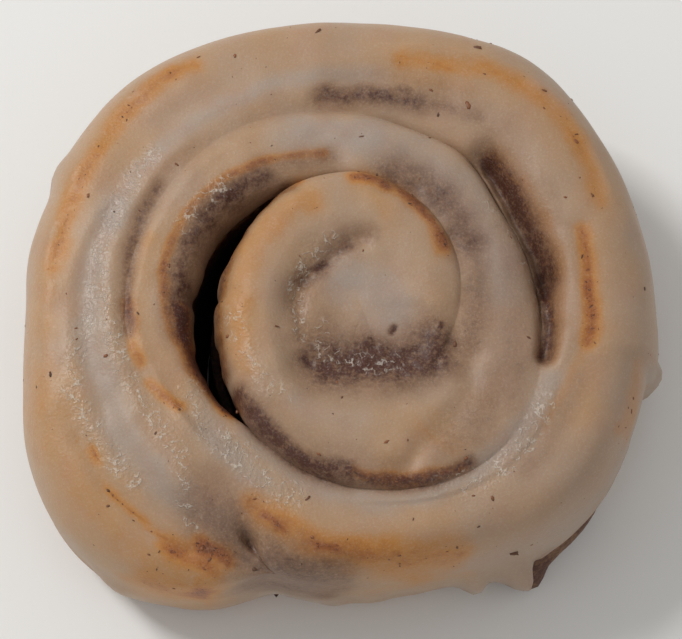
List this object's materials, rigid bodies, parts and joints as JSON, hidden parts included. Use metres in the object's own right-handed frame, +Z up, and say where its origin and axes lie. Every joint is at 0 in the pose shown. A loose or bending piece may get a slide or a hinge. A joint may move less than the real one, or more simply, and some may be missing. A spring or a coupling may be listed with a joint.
{
  "type": "cinnamon roll",
  "caption": "Iced cinnamon roll: a flat-based coil of risen dough with cinnamon filling between its turns and a poured icing that has run down the side.",
  "frame": {"origin": "middle of the roll's outline, on the surface it stands on", "axes": "+Z up, +X along the roll's longest width, towards the right of the picture; +Y towards the top of the picture, away from the notch beside the coil's tail"},
  "size_m": [0.1098, 0.1038, 0.042],
  "materials": {
    "dough": "soft baked bread, golden to brown",
    "cinnamon_filling": "damp dark cinnamon paste",
    "icing": "glossy, translucent sugar icing"
  },
  "bodies": {
    "root": {"dough": "dough", "cinnamon_filling": "cinnamon_filling", "icing": "icing"}
  },
  "joints": []
}
